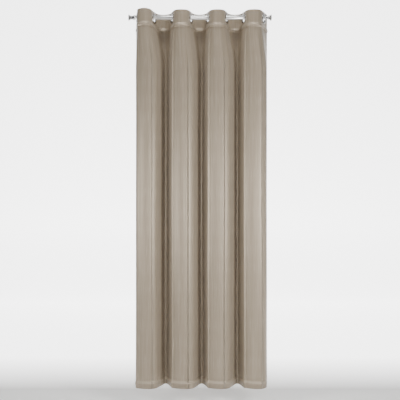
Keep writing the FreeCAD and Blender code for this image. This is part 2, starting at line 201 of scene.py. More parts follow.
def cloth_material(name, light, dark, slub, rough=0.44, thread=0.0007):
    made, shader, start = material(
        name, Sheen_Weight=0.15, Sheen_Roughness=0.4, Specular_IOR_Level=0.6, Anisotropic=0.35, Metallic=0.3,
    )
    flat = start.node("ShaderNodeUVMap", uv_map="cloth")
    streaks = flat.scaled((420.0, 3.2, 1.0)).noise(1.0, 3.0, 0.6)
    broad = flat.scaled((55.0, 1.1, 1.0)).noise(1.0, 2.0, 0.5)
    slubs = flat.scaled((950.0, 9.0, 1.0)).noise(1.0, 1.0, 0.4).ranged(0.60, 0.74)
    cloud = flat.scaled((3.0, 2.0, 1.0)).noise(1.0, 2.0)
    tone = streaks.ranged(0.28, 0.72) * 0.5 + broad.ranged(0.3, 0.7) * 0.35 + cloud * 0.15
    colour = slubs.ranged(0.0, 1.0, 0.0, 0.55).mixed(tone.mixed(dark, light), slub)
    weave = flat.wave("X", 0.5 / thread) + flat.wave("Y", 0.5 / thread)
    level = flat.node("ShaderNodeSeparateXYZ", {0: flat}, 1)
    # painted highlight: a lighter band along the hem's stitches, where the welt catches light from above
    painted_highlight = (level - (BOTTOM + PAINTED_HIGHLIGHT_LINE)).maths("ABSOLUTE").ranged(3 * MM, 9 * MM, 0.5, 0.0)
    # painted shade: the cloth is mixed towards its dark colour over the lowest few centimetres, towards the hem's
    # bottom edge
    painted_shade = level.ranged(BOTTOM + PAINTED_SHADE_TO, BOTTOM + PAINTED_SHADE_FROM, 0.55, 0.0)
    colour = (painted_highlight * (streaks + 0.4)).mixed(painted_shade.mixed(colour, dark), slub)
    height = weave * 0.3 + streaks * 1.2 + slubs * 0.9
    roughness = tone.ranged(0.0, 1.0, rough + 0.07, rough - 0.06) + slubs * 0.06
    normal = height.bumped(0.35, 0.0004)
    return surface(made, shader, Base_Color=colour, Roughness=roughness, Normal=normal)


satin = cloth_material("taupe_satin", CLOTH_LIGHT, CLOTH_DARK, CLOTH_SLUB)
tape_cloth = cloth_material("stiff_tape", (0.68, 0.65, 0.6), (0.58, 0.55, 0.5), (0.74, 0.72, 0.68), 0.7, 0.0012)

# %% [markdown]
# ## Metals and rubber
# Polished metal shows its surroundings, so its own pattern must be faint: a slow change of roughness where fingers
# have wiped it, and fine marks round the turned parts. The pattern sits on Object coordinates, in metres.

# %% Metal and rubber materials
def metal_material(name, colour, rough, marks=0.04, grain=900.0, metal=1.0):
    made, shader, start = material(name, Metallic=metal, Specular_IOR_Level=0.5)
    place = start.node("ShaderNodeTexCoord", output=3)
    smears = place.noise(35.0, 3.0, 0.6)
    lines = place.scaled((grain, 60.0, 60.0)).noise(1.0, 2.0, 0.5)
    dark = tuple(channel * 0.9 for channel in colour)
    tint = smears.mixed(dark, colour)
    roughness = smears * marks + lines * (marks * 0.5) + (rough - marks * 0.5)
    return surface(made, shader, Base_Color=tint, Roughness=roughness, Normal=lines.bumped(0.04, 0.0001))


def moulded_material(name, colour, rough):
    made, shader, start = material(name, Specular_IOR_Level=0.4)
    place = start.node("ShaderNodeTexCoord", output=3)
    grain = place.noise(2600.0, 2.0)
    dust = place.noise(60.0, 3.0, 0.6).ranged(0.45, 0.75)
    pale = tuple(channel * 0.7 + 0.12 for channel in colour)
    return surface(
        made, shader, Base_Color=(dust * 0.35).mixed(colour, pale), Roughness=grain * 0.2 + (rough - 0.1),
        Normal=grain.bumped(0.25, 0.0002),
    )


rod_chrome = metal_material("rod_chrome", (0.88, 0.88, 0.89), 0.16, metal=0.62)
collar_chrome = metal_material("collar_chrome", (0.66, 0.66, 0.67), 0.14)
flare_metal = metal_material("flare_dark_metal", (0.42, 0.42, 0.43), 0.26, metal=0.75)
eyelet_nickel = metal_material("eyelet_nickel", (0.44, 0.43, 0.41), 0.2, 0.08)
zinc_steel = metal_material("zinc_steel", (0.6, 0.61, 0.63), 0.32, 0.12)
end_rubber = moulded_material("end_rubber", (0.035, 0.035, 0.037), 0.75)
inner_plastic = moulded_material("inner_plastic", (0.05, 0.05, 0.055), 0.5)
thread_material = cloth_material(
    "stitch_thread", (0.47, 0.40, 0.335), (0.38, 0.32, 0.26), (0.55, 0.48, 0.41), 0.5, 0.0003,
)

# %% [markdown]
# ## Turning a bmesh into a finished piece
# Each piece is built in its own bmesh, in metres and in the frame's own place, and then becomes an object that sits at
# the origin. It rides on one body, and the plain solids it stands for are hidden.

# %% Finish a piece
def finished(name, shape, finish, body, replaced=()):
    mesh = bpy.data.meshes.new(name)
    shape.to_mesh(mesh)
    shape.free()
    mesh.materials.append(finish)
    mesh.shade_smooth()
    piece = bpy.data.objects.new(name, mesh)
    bpy.context.scene.collection.objects.link(piece)
    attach(piece, body)
    if replaced:
        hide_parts(*replaced)
    return piece


# %% [markdown]
# ## The cloth's line seen from above
# Seen from above, the cloth runs straight, turns in an arc and runs straight again, so its line is a list of corners
# with a radius each. A distance along the line gives a place and a direction.

# %% Straights and arcs
def rounded_line(corners):
    """Stretches (start distance, point, direction, signed radius) and the distance of each corner's middle."""
    stretches, middles, gone = [], [], 0.0
    points = [Vector(corner[:2]) for corner in corners]
    here = points[0]
    for number in range(1, len(points)):
        way = (points[number] - points[number - 1]).normalized()
        angle = math.atan2(way.y, way.x)
        setback = 0.0
        if number < len(points) - 1:
            after = points[number + 1] - points[number]
            turn = way.angle_signed(after) * -1
            setback = corners[number][2] * math.tan(abs(turn) / 2)
        stretches.append((gone, here.copy(), angle, 0.0))
        arc_start = points[number] - way * setback
        gone += (arc_start - here).length
        if setback:
            radius = corners[number][2]
            stretches.append((gone, arc_start, angle, math.copysign(radius, turn)))
            middles.append(gone + radius * abs(turn) / 2)
            gone += radius * abs(turn)
            here = points[number] + after.normalized() * setback
    return stretches, middles, gone


def on_line(stretches, along):
    """The place and the direction at a distance along the line."""
    start, point, angle, radius = next((s for s in reversed(stretches) if along >= s[0]), stretches[0])
    way = Vector((math.cos(angle), math.sin(angle)))
    if not radius:
        return point + way * (along - start), angle
    turned = (along - start) / radius
    centre = point + Vector((-way.y, way.x)) * radius
    arm = point - centre
    swung = Vector((
        arm.x * math.cos(turned) - arm.y * math.sin(turned), arm.x * math.sin(turned) + arm.y * math.cos(turned),
    ))
    return centre + swung, angle + turned


def crossings(stretches):
    """The distances at which the line's straights pass the rod."""
    found = []
    for (start, point, angle, radius), (end, *_) in zip(stretches, stretches[1:] + [(9.9,)]):
        if not radius and abs(math.sin(angle)) > 0.5:
            reach = -point.y / math.sin(angle)
            if 0 < reach < end - start:
                found.append(start + reach)
    return found


# %% [markdown]
# ## The heading's line
# The stiff heading stands square to each eyelet: forwards at the first, backwards at the second, and so on. The
# directions cross at a corner in front of the rod or behind it. Each corner's arc starts where the flange ends.

# %% Line of the heading
FOLD_ANGLE, FIRST_ANGLE, LAST_ANGLE = math.radians(72), math.radians(80), math.radians(68)
LEFT_FLAP, RIGHT_FLAP = 54 * MM, 70 * MM
FLAT_AT_RING = FLANGE_RADIUS + 1 * MM


def turn_at(number):
    angle = {0: FIRST_ANGLE, EYELETS - 1: LAST_ANGLE}.get(number, FOLD_ANGLE)
    return -angle if number % 2 == 0 else angle


def heading_corners():
    ways = [Vector((math.cos(turn_at(n)), math.sin(turn_at(n)))) for n in range(EYELETS)]
    corners = [(eyelets[0].x - ways[0].x * LEFT_FLAP, -ways[0].y * LEFT_FLAP, 0)]
    for number in range(EYELETS - 1):
        angle, after = abs(turn_at(number)), abs(turn_at(number + 1))
        gap = eyelets[number + 1].x - eyelets[number].x
        run, run_after = (gap * math.sin(a) / math.sin(angle + after) for a in (after, angle))
        radius = (min(run, run_after) - FLAT_AT_RING) / math.tan((angle + after) / 2)
        corners.append((eyelets[number].x + ways[number].x * run, ways[number].y * run, radius))
    return corners + [(eyelets[-1].x + ways[-1].x * RIGHT_FLAP, ways[-1].y * RIGHT_FLAP, 0)]


HEADING_LINE, _, FLAT_WIDTH = rounded_line(heading_corners())
RINGS = crossings(HEADING_LINE)
print("flat width", round(FLAT_WIDTH, 3), "m, rings at", [round(r, 3) for r in RINGS])

# %% [markdown]
# ## The free folds' line
# Below its heading the cloth finds its own shape. Each front fold keeps a nearly flat face with a sharp crease at its
# left, where it was folded in its packet, and turns softly into the valley at its right. The line is as long as the
# heading's, and passes the rod as often, so the two share one measure along the cloth.

# %% Line of the free folds
CREASE_RADIUS, FACE_RADIUS, SOFT_RADIUS, VALLEY_RADIUS = 6 * MM, 120 * MM, 58 * MM, 12 * MM
CREASE_DEPTH, FACE_DEPTH, VALLEY_DEPTH, VALLEY_LEAN = 41 * MM, 69 * MM, 77 * MM, 15 * MM
CREASE_SHIFT, FIRST_SHIFT, FIRST_RADIUS, SHOULDER = 1 * MM, -5 * MM, 14 * MM, 9 * MM
FREE_START, FREE_END = (42 * MM, 53 * MM), (26 * MM, 65 * MM)


def free_corners():
    corners = [(*FREE_START, 0)]
    for left in range(0, EYELETS, 2):
        start, end = eyelets[left].x, eyelets[left + 1].x
        shift, radius = (CREASE_SHIFT, CREASE_RADIUS) if left else (FIRST_SHIFT, FIRST_RADIUS)
        corners += [
            (start + shift, -CREASE_DEPTH, radius),
            ((start + end) / 2, -FACE_DEPTH, FACE_RADIUS),
            (end + SHOULDER, -FACE_DEPTH + SHOULDER, SOFT_RADIUS),
        ]
        if left + 2 < EYELETS:
            valley = (end + eyelets[left + 2].x) / 2 + VALLEY_LEAN
            corners.append((valley, VALLEY_DEPTH, VALLEY_RADIUS))
    return corners + [(eyelets[-1].x + FREE_END[0], FREE_END[1], 0)]


FREE_LINE, FREE_TURNS, FREE_WIDTH = rounded_line(free_corners())
HEADING_MARKS = [0.0, *RINGS, FLAT_WIDTH]
FREE_MARKS = [0.0, *crossings(FREE_LINE), FREE_WIDTH]
CREASES = FREE_TURNS[4::4]


def matched(value, marks, others):
    """A distance between two marks of one line, as the distance between the same two marks of the other line."""
    number = min(max(sum(value > mark for mark in marks) - 1, 0), len(marks) - 2)
    share = (value - marks[number]) / (marks[number + 1] - marks[number])
    return others[number] + (others[number + 1] - others[number]) * share


print("free line", round(FREE_WIDTH, 3), "m, creases at", [round(c, 3) for c in CREASES])

# %% [markdown]
# ## How the cloth hangs
# Stiffened by its tape, the heading keeps its line exactly, and the cloth changes to the free folds just under it.
# Lower down the folds wander by a few millimetres. A sewn edge shows as a ridge: the doubled cloth stands proud and
# steps back under the stitches. A crease is pinched, with a slight hollow beside it. The ridges are lower where the
# cloth turns away, so that its outline stays straight, and the first fold rides up a little and puffs out at its right.

# %% Hanging shape
HEADING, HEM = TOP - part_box("heading_facing")[0][2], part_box("bottom_hem")[1][2] - BOTTOM
WANDER, FIRST_FOLD_LIFT, FIRST_FOLD_PUFF = 3.0 * MM, 8 * MM, 6 * MM
HEADING_RIDGE, HEM_RIDGE, HEM_PUCKER, REAR_SAG = 9.0 * MM, 8.0 * MM, 2.6 * MM, 8 * MM
CREASE_PINCH, CREASE_WIDTH = 4.2 * MM, 3.4 * MM
WELT_RISE, WELT_FALL, WELT_UP = 21 * MM, 6 * MM, 9 * MM
HEM_GROOVE, HEM_GROOVE_UP, HEM_UNEVEN = 3 * MM, 9 * MM, 2 * MM
PUCKER_TOP, SMALL_PUCKER, FREE_FROM, FREE_OVER = 110 * MM, 0.8 * MM, 32 * MM, 250 * MM


def eased(value, low, high):
    share = min(max((value - low) / (high - low), 0.0), 1.0)
    return share * share * (3 - 2 * share)


def bell(value, middle, width):
    return math.exp(-(((value - middle) / width) ** 2))


def welt(gone_by, rise, fall):
    """A sewn edge's roll, for a distance past its stitches: it rises softly, then drops sharply."""
    return eased(gone_by, -rise, -0.1 * rise) * (1 - eased(gone_by, 0.0, fall))


def ridge(along, height):
    """How far the cloth's front stands proud at a sewn edge."""
    below, above = TOP - height, height - BOTTOM
    uneven = 1 + 0.2 * noise.noise((along * 38, 0, 1.3))
    rearward = eased(on_line(HEADING_LINE, along)[0].y, 0.0, 50 * MM)
    heading = HEADING_RIDGE * uneven * welt(below - HEADING - REAR_SAG * rearward + WELT_UP, WELT_RISE, WELT_FALL)
    hem_top = HEM + HEM_UNEVEN * noise.noise((along * 20, 4.0, 0))
    under = hem_top - above
    hem = HEM_RIDGE * eased(under, -3 * MM, 7 * MM) * (1 - 0.8 * eased(under, 8 * MM, 34 * MM))
    hem -= HEM_GROOVE * bell(above, hem_top + HEM_GROOVE_UP, 8 * MM)
    return heading + hem * eased(min(along, FLAT_WIDTH - along), 20 * MM, 110 * MM)


def pinch(free_along, below):
    """The pinched creases at the left of the front folds."""
    uneven = 1 + 0.5 * noise.noise((free_along * 3, below * 2.2, 5.0))
    crest = sum(bell(free_along, crease, CREASE_WIDTH) for crease in CREASES)
    hollow = sum(bell(free_along, crease + 2.4 * CREASE_WIDTH, 1.3 * CREASE_WIDTH) for crease in CREASES)
    return CREASE_PINCH * uneven * (crest - 0.45 * hollow)


def puckers(along, height):
    """Small creases that the stitches draw into the hem, strongest where a front fold turns back."""
    below, above = TOP - height, height - BOTTOM
    near_hem = 1 - eased(above, 25 * MM, PUCKER_TOP)
    creases = noise.noise((along * 42 + above * 16, above * 7, 2.0))
    turning = sum(bell(along, ring + 18 * MM, 32 * MM) for ring in RINGS[1::2])
    near_heading = bell(below, HEADING + 12 * MM, 16 * MM)
    small = noise.noise((along * 75, below * 9, 7.0)) * SMALL_PUCKER
    return near_hem * creases * HEM_PUCKER * (0.35 + turning) + near_heading * small


def hung(along, height, proud=0.0):
    """The point of the cloth at this distance along it and this height. proud is towards the front."""
    below = TOP - height
    free = eased(below, HEADING - FREE_FROM, HEADING + FREE_OVER)
    creased = eased(below, HEADING - 8 * MM, HEADING + 24 * MM)
    free_along = matched(along, HEADING_MARKS, FREE_MARKS)
    (stiff, stiff_angle), (loose, loose_angle) = on_line(HEADING_LINE, along), on_line(FREE_LINE, free_along)
    point = stiff.lerp(loose, free)
    fronts = [Vector((math.sin(angle), -math.cos(angle))) for angle in (stiff_angle, loose_angle)]
    front = fronts[0].lerp(fronts[1], free).normalized()
    out = proud + ridge(along, height) * (0.3 + 0.7 * abs(front.y))
    out += puckers(along, height) + creased * pinch(free_along, below)
    out += free * WANDER * noise.noise((along * 7.5, below * 0.9, 9.4))
    sway = eased(below, HEADING, 0.9) * WANDER * noise.noise((along * 5.2, below * 1.1, 3.1))
    upper = (RINGS[0] + RINGS[1]) / 2
    out += FIRST_FOLD_PUFF * bell(along, RINGS[0] + 52 * MM, 17 * MM) * (1 - free)
    lifted = FIRST_FOLD_LIFT * bell(along, upper, 46 * MM) * (1 - eased(below, 0.02, 0.7))
    return Vector((point.x + front.x * out + sway, point.y + front.y * out, height + lifted))


# %% [markdown]
# ## A layer of cloth
# A layer starts as a flat grid. Its columns run along the cloth and its rows are closer together where there is more
# to show: at the heading, at the hem and over the rolled edges. Each vertex is then moved to where the cloth hangs,
# and its flat place is kept as its UV. A Solidify modifier gives the cloth its thickness.

# %% Build a layer
def spaced(start, end, step):
    count = max(1, round(abs(end - start) / step))
    return [start + (end - start) * i / count for i in range(count)]


def cloth_piece(name, columns, rows, node, finish, thickness, cut_rings=False):
    """rows holds (height, proud, flat height) from the top down."""
    shape = bmesh.new()
    bmesh.ops.create_grid(shape, x_segments=len(columns) - 1, y_segments=len(rows) - 1, size=1.0)
    flats = shape.loops.layers.uv.new("cloth")
    places = {}
    for vertex in shape.verts:
        column = round((vertex.co.x + 1) / 2 * (len(columns) - 1))
        row = round((1 - vertex.co.y) / 2 * (len(rows) - 1))
        places[vertex] = (columns[column], *rows[row])
    if cut_rings:
        open_rings(shape, places)
    for face in shape.faces:
        for loop in face.loops:
            along, _, _, flat_height = places[loop.vert]
            loop[flats].uv = (along, flat_height)
    for vertex in shape.verts:
        along, height, proud, _ = places[vertex]
        vertex.co = hung(along, height, proud)
    bmesh.ops.recalc_face_normals(shape, faces=shape.faces)
    if sum(face.normal.y for face in shape.faces) > 0:
        bmesh.ops.reverse_faces(shape, faces=shape.faces)
    piece = finished(name, shape, finish, "rod", (node,))
    thick = piece.modifiers.new("thickness", "SOLIDIFY")
    thick.thickness, thick.offset = thickness, 0.0
    print(name, len(piece.data.polygons), "faces")
    return piece


BARREL_ROOM = 24 * MM


def open_rings(shape, places):
    """Removes the cloth inside each barrel and draws the cut edge onto a circle that the flange covers."""
    for number, ring in enumerate(RINGS):
        height = eyelets[number].z
        distance = {
            vertex: math.hypot(places[vertex][0] - ring, places[vertex][1] - height)
            for vertex in shape.verts if abs(places[vertex][0] - ring) < 0.06 and places[vertex][1] > height - 0.06
        }
        inside = [v for v, gap in distance.items() if gap < BARREL_ROOM]
        bmesh.ops.delete(shape, geom=inside, context="VERTS")
        edge = [v for v in distance if v.is_valid and v.is_boundary and distance[v] < BARREL_ROOM + 9 * MM]
        for vertex in edge:
            along, height_here, proud, flat_height = places[vertex]
            pull = BARREL_ROOM / distance[vertex]
            along, moved = ring + (along - ring) * pull, height + (height_here - height) * pull
            places[vertex] = (along, moved, proud, flat_height + moved - height_here)
        for gone in [v for v in places if not v.is_valid]:
            del places[gone]


# %% [markdown]
# ## The panel and the layers behind it
# The panel is the cloth you see. It rolls over the top into the facing and under the bottom into the hem, so both
# edges are rounded folds and not raw cuts. The stiff tape is sandwiched between the panel and the facing.

# %% Curtain panel, facing, tape and hems
CLOTH = 0.7 * MM
FRONT, BACK = 0.9 * MM, -0.9 * MM
ROLL = (FRONT - BACK) / 2
COLUMN, FINE_COLUMN, CREASE_REACH = 6.4 * MM, 1.7 * MM, 15 * MM


def rolled(edge, direction):
    """Rows round a folded edge, from the panel's face over to the back."""
    steps = [math.pi * i / 6 for i in range(6)]
    return [(edge - direction * ROLL + direction * ROLL * math.sin(a), ROLL * math.cos(a), edge + direction * ROLL * a)
            for a in (steps if direction < 0 else reversed(steps))]


def plain(heights, proud):
    return [(height, proud, height) for height in heights]


def body_heights():
    stops = spaced(TOP - ROLL, TOP - HEADING + 30 * MM, 4.6 * MM)
    stops += spaced(TOP - HEADING + 30 * MM, TOP - HEADING - 10 * MM, 2.0 * MM)
    stops += spaced(TOP - HEADING - 10 * MM, TOP - HEADING - 80 * MM, 8 * MM)
    stops += spaced(TOP - HEADING - 80 * MM, BOTTOM + 160 * MM, 38 * MM)
    stops += spaced(BOTTOM + 160 * MM, BOTTOM + HEM + 16 * MM, 7 * MM)
    stops += spaced(BOTTOM + HEM + 16 * MM, BOTTOM + HEM - 12 * MM, 2.3 * MM)
    return stops + spaced(BOTTOM + HEM - 12 * MM, BOTTOM + ROLL, 4.5 * MM)


def all_columns():
    """Wide columns, with narrow ones beside each crease."""
    columns, here = [], 0.0
    for crease in (matched(c, FREE_MARKS, HEADING_MARKS) for c in CREASES):
        columns += spaced(here, crease - CREASE_REACH, COLUMN)
        columns += spaced(crease - CREASE_REACH, crease + CREASE_REACH, FINE_COLUMN)
        here = crease + CREASE_REACH
    return columns + [*spaced(here, FLAT_WIDTH, COLUMN), FLAT_WIDTH]


ALL_COLUMNS = all_columns()
panel_rows = rolled(TOP, 1) + plain(body_heights(), FRONT) + rolled(BOTTOM, -1)
panel = cloth_piece("curtain_cloth", ALL_COLUMNS, panel_rows, "curtain_panel", satin, CLOTH, True)

facing_rows = plain([*spaced(TOP - ROLL, TOP - HEADING, 5 * MM), TOP - HEADING], BACK)
facing = cloth_piece(
    "turned_down_facing", ALL_COLUMNS, facing_rows, "heading_facing", satin, CLOTH, True,
)
tape_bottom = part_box("heading_tape")[0][2]
tape_rows = plain([*spaced(TOP - 3 * MM, tape_bottom, 6 * MM), tape_bottom], 0.0)
tape = cloth_piece(
    "stiffening_tape", ALL_COLUMNS[1:-1], tape_rows, "heading_tape", tape_cloth, 0.8 * MM, True,
)
hem_rows = plain([*spaced(BOTTOM + HEM, BOTTOM + ROLL, 4 * MM), BOTTOM + ROLL], BACK)
hem = cloth_piece("turned_up_hem", ALL_COLUMNS, hem_rows, "bottom_hem", satin, CLOTH)

side_top, side_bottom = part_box("side_hem_left")[1][2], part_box("side_hem_left")[0][2]
SIDE_HEM = 25 * MM
side_rows = plain([*spaced(side_top, side_bottom, 22 * MM), side_bottom], BACK)
left_hem = cloth_piece(
    "left_side_hem", [*spaced(0.0, SIDE_HEM, 5 * MM), SIDE_HEM], side_rows, "side_hem_left", satin,
    CLOTH,
)
right_hem = cloth_piece(
    "right_side_hem", [*spaced(FLAT_WIDTH - SIDE_HEM, FLAT_WIDTH, 5 * MM), FLAT_WIDTH], side_rows, "side_hem_right",
    satin, CLOTH,
)

# %% [markdown]
# ## Stitches
# A stitch is a short length of thread that dips into the cloth at both ends. One is only a squashed tube of a few
# faces, because there are hundreds. Each follows the cloth through the same hanging shape as the layers.

# %% Stitch lines
STITCH, STITCH_GAP, THREAD = 3.2 * MM, 1.1 * MM, 0.32 * MM


def stitch(shape, start, end, side, out):
    """One stitch from start to end: a tapered tube of five rings of five points, bowed away from the cloth."""
    rings = []
    for step in range(5):
        share = step / 4
        centre = start.lerp(end, share) + out * (THREAD * 1.2 * math.sin(math.pi * share))
        thick = THREAD * (0.45 + 0.55 * math.sin(math.pi * share))
        circle = [centre + (side * math.cos(a) + out * math.sin(a)) * thick for a in
                  (math.tau * corner / 5 for corner in range(5))]
        rings.append([shape.verts.new(point) for point in circle])
    for one, two in zip(rings, rings[1:]):
        bmesh.ops.bridge_loops(shape, edges=loop_edges(shape, one) + loop_edges(shape, two))
    shape.faces.new(rings[0])
    shape.faces.new(rings[-1])


def loop_edges(shape, ring):
    return [shape.edges.get(pair) or shape.edges.new(pair) for pair in zip(ring, ring[1:] + ring[:1])]


def stitch_line(name, routes, proud):
    """routes holds (start along, start height, end along, end height) of each straight seam on the flat cloth."""
    shape = bmesh.new()
    flats = shape.loops.layers.uv.new("cloth")
    for along_1, height_1, along_2, height_2 in routes:
        length = math.hypot(along_2 - along_1, height_2 - height_1)
        count = int(length / (STITCH + STITCH_GAP))
        for number in range(count):
            low, high = number / count, (number + STITCH / (STITCH + STITCH_GAP)) / count
            ends = [
                hung(along_1 + (along_2 - along_1) * share, height_1 + (height_2 - height_1) * share, proud)
                for share in (low, high)
            ]
            _, angle = on_line(HEADING_LINE, along_1 + (along_2 - along_1) * low)
            out = Vector((math.sin(angle), -math.cos(angle), 0)) * (1 if proud > 0 else -1)
            stitch(shape, *ends, (ends[1] - ends[0]).normalized().cross(out), out)
    bmesh.ops.recalc_face_normals(shape, faces=shape.faces)
    for face in shape.faces:
        for loop in face.loops:
            loop[flats].uv = (loop.vert.co.x, loop.vert.co.z)
    piece = finished(name, shape, thread_material, "rod")
    print(name, len(piece.data.polygons), "faces")
    return piece


seam_edge = 4 * MM
heading_seam = stitch_line(
    "heading_stitches", [(seam_edge, TOP - HEADING + 3 * MM, FLAT_WIDTH - seam_edge, TOP - HEADING + 3 * MM)],
    FRONT + CLOTH / 2,
)
hem_seam = stitch_line(
    "hem_stitches", [(seam_edge, BOTTOM + HEM - 3 * MM, FLAT_WIDTH - seam_edge, BOTTOM + HEM - 3 * MM)],
    FRONT + CLOTH / 2,
)
side_seams = stitch_line(
    "side_stitches",
    [(SIDE_HEM - seam_edge, side_top, SIDE_HEM - seam_edge, side_bottom),
     (FLAT_WIDTH - SIDE_HEM + seam_edge, side_top, FLAT_WIDTH - SIDE_HEM + seam_edge, side_bottom)],
    FRONT + CLOTH / 2,
)

# %% [markdown]
# ## How much of its spread the drawn curtain keeps
# When the curtain is drawn, the first eyelet stays near the left end and the others slide up to it. The draw's travel
# gives the share of its spread that the drawn curtain keeps, and each cloth piece gets a mesh of its own.

# %% Share kept by the drawn curtain
draw = next(joint for joint in frame["joints"] if joint["name"] == "curtain_draw")
ANCHOR = (42 * MM, 0.0, 0.0)
travel = -draw["range_m"][0]
KEEP = 1 - travel / (eyelets[-1].x - ANCHOR[0])
cloth_pieces = [panel, facing, tape, hem, left_hem, right_hem, heading_seam, hem_seam, side_seams]
for piece in cloth_pieces:
    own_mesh(piece)
print("the drawn curtain keeps", round(KEEP, 3), "of its spread")

# %% [markdown]
# ## Turned metal pieces
# Everything on the rod is round, so one outline of (along, radius) points and a full spin makes each piece. Corners
# are small arcs, because a real edge is never sharp and a rounded one catches a line of light.

# %% Spin a piece
SPIN_STEPS = 96


def arc(centre_x, centre_r, radius, start, end, steps=6):
    """Outline points along an arc. The angles are in degrees, from the X axis towards the radius."""
    angles = [math.radians(start + (end - start) * i / steps) for i in range(steps + 1)]
    return [(centre_x + radius * math.cos(a), centre_r + radius * math.sin(a)) for a in angles]


def spun(outline, steps=SPIN_STEPS):
    """A closed shape turned about the X axis. An outline that starts and ends on the axis closes itself there."""
    shape = bmesh.new()
    points = [shape.verts.new((x, 0, radius)) for x, radius in outline]
    pairs = list(zip(points, points[1:]))
    closed = min(outline[0][1], outline[-1][1]) > 1e-7
    edges = [shape.edges.new(pair) for pair in pairs + ([(points[-1], points[0])] if closed else [])]
    bmesh.ops.spin(
        shape, geom=[*points, *edges], cent=(0, 0, 0), axis=(1, 0, 0), dvec=(0, 0, 0), angle=math.tau, steps=steps,
        use_merge=True, use_duplicate=False,
    )
    bmesh.ops.remove_doubles(shape, verts=shape.verts, dist=1e-6)
    bmesh.ops.recalc_face_normals(shape, faces=shape.faces)
    return shape


def placed(shape, matrix):
    bmesh.ops.transform(shape, matrix=matrix, verts=shape.verts)
    return shape


# %% [markdown]
# ## Eyelets
# Each eyelet is a front ring whose barrel goes through the cloth, and a back ring that snaps onto it. Both flanges
# are domed, and the front one rolls into the barrel. The rings stand square to the cloth where it passes the rod.
# As the curtain is drawn its cloth comes to stand steeper, and the real rings turn with it.

# %% Eyelet rings
HOLE, BARREL_WALL = 21 * MM, 1.2 * MM
SEAT, DOME, BARREL_END = 2.0 * MM, 2.8 * MM, 3.8 * MM


def front_ring():
    """The flange faces local -X and its barrel runs to +X."""
    outside = FLANGE_RADIUS
    outline = [(-SEAT, HOLE + BARREL_WALL), (-SEAT, outside - 0.3 * MM)]
    outline += arc(-SEAT - 0.5 * MM, outside - 0.5 * MM, 0.5 * MM, 60, 180, 4)
    crown = [math.pi * i / 10 for i in range(1, 10)]
    middle, half = (outside + HOLE) / 2, (outside - HOLE) / 2
    outline += [(-SEAT - 1.0 * MM - (DOME - 1.0 * MM) * math.sin(a), middle + half * math.cos(a)) for a in crown]
    outline += [(-SEAT - 0.6 * MM, HOLE), (BARREL_END - 0.3 * MM, HOLE), (BARREL_END, HOLE + 0.3 * MM)]
    return outline + [(BARREL_END, HOLE + BARREL_WALL)]


def back_ring():
    """A domed washer round the barrel's end."""
    inside, outside = HOLE + BARREL_WALL + 0.05 * MM, FLANGE_RADIUS
    crown = [math.pi * i / 10 for i in range(0, 11)]
    middle, half = (outside + inside) / 2, (outside - inside) / 2
    outline = [(SEAT, inside), (SEAT, outside - 0.3 * MM)]
    outline += [(SEAT + 0.6 * MM + (DOME - 0.6 * MM) * math.sin(a), middle + half * math.cos(a)) for a in crown]
    return outline


rings = []
for number, place in enumerate(eyelets):
    # the local +X side faces the curtain's back
    facing_back = Matrix.Translation(place) @ Matrix.Rotation(turn_at(number) + math.pi / 2, 4, "Z")
    for side, outline in (("front", front_ring()), ("back", back_ring())):
        node = f"eyelet_{number + 1}_{side}"
        ring = finished(
            f"{node}_ring", placed(spun(outline), facing_back), eyelet_nickel, f"eyelet_{number + 1}",
            (node,),
        )
        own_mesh(ring)
        rings.append(ring)
print(len(rings), "rings,", len(rings[0].data.polygons), "faces in a front one")

# %% [markdown]
# ## The rod and its ends
# The tube is thin-walled, so its outline is a closed loop. At each end a collar hides the tube's cut edge, a neck
# leaves it and flares like a trumpet to a flat rim with a rubber pad. The right neck is the plunger, which slides.

# %% Rod pieces
def box_x(node):
    low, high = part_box(node)
    return low[0], high[0], (high[2] - low[2]) / 2


def tube_outline(wall=1.2 * MM):
    left, right, radius = box_x("rod_tube")
    ease = 0.3 * MM
    return [
        (left, radius - wall), (left, radius - ease), (left + ease, radius), (right - ease, radius),
        (right, radius - ease), (right, radius - wall),
    ]


def flare_outline(length, rim, neck, hole):
    """From the rim's face at 0 down the hollow sweep to the neck end."""
    rim_edge, sweep = 2.5 * MM, 14
    outline = [(0.0, hole), (0.0, rim - 0.6 * MM), *arc(0.6 * MM, rim - 0.6 * MM, 0.6 * MM, 180, 90, 4)]
    outline += arc(rim_edge - 0.8 * MM, rim - 0.8 * MM, 0.8 * MM, 90, 20, 4)
    for step in range(1, sweep + 1):
        share = step / sweep
        outline.append((rim_edge + (length - rim_edge) * share, neck + (rim - 1.2 * MM - neck) * (1 - share) ** 2.1))
    return outline + [(length, hole)]


def mirrored(outline, at):
    return [(at - x, radius) for x, radius in outline]


def shifted(outline, by):
    return [(by + x, radius) for x, radius in outline]


finished("chrome_tube", spun(tube_outline()), rod_chrome, "rod", ("rod_tube",))

cap_left, cap_right, rim_radius = box_x("end_cap_left")
neck_radius = box_x("plunger")[2]
SCREW_ROOM = 2.6 * MM
flare = flare_outline(cap_right - cap_left, rim_radius, neck_radius, SCREW_ROOM)
finished("left_flare", spun(shifted(flare, cap_left)), flare_metal, "rod", ("end_cap_left",))
finished(
    "right_flare", spun(mirrored(flare, box_x("end_cap_right")[1])), flare_metal, "right_end",
    ("end_cap_right",),
)

# %% Rubber pads
def pad_outline(thick, radius):
    """A soft disc with a rounded lip and three shallow grip grooves in its face, which starts on the axis at 0."""
    outline = [(0.0, 0.0)]
    for ring in range(1, 4):
        groove = radius * (0.2 + 0.18 * ring)
        outline += [(0.0, groove - 0.9 * MM), (0.5 * MM, groove - 0.4 * MM), (0.5 * MM, groove + 0.4 * MM),
                    (0.0, groove + 0.9 * MM)]
    return outline + arc(1.0 * MM, radius - 1.0 * MM, 1.0 * MM, 180, 90, 5) + [(thick, radius), (thick, 0.0)]


